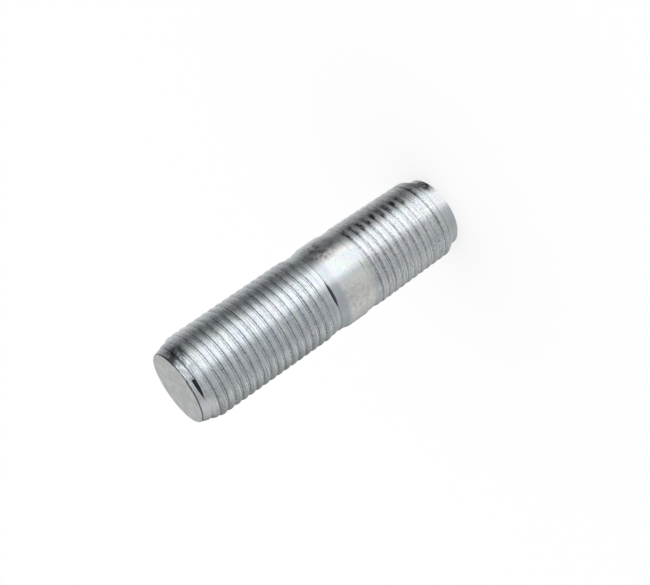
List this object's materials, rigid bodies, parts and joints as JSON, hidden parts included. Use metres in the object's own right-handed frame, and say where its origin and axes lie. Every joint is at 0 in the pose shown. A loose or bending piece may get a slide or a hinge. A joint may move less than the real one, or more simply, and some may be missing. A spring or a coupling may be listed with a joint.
{
  "type": "stud bolt",
  "caption": "Short steel stud bolt: a fine thread on each end, a plain collar between them, and a smooth pilot point on the tap end.",
  "frame": {"origin": "on the axis, at the centre of the flat pilot face that the stud stands on", "axes": "+Z along the stud's axis, from the pilot face of the tap end to the tip of the nut end; X and Y are square to it, and -Y is the side where each thread comes to its full depth"},
  "size_m": [0.0158, 0.0158, 0.0572],
  "materials": {
    "zinc_plated_steel": "bright zinc plating on rolled steel: light grey metal with faint blue, green and lilac tints, smooth on the collar and worn along the crests"
  },
  "bodies": {
    "root": {"stud_bolt": "zinc_plated_steel"}
  },
  "joints": []
}
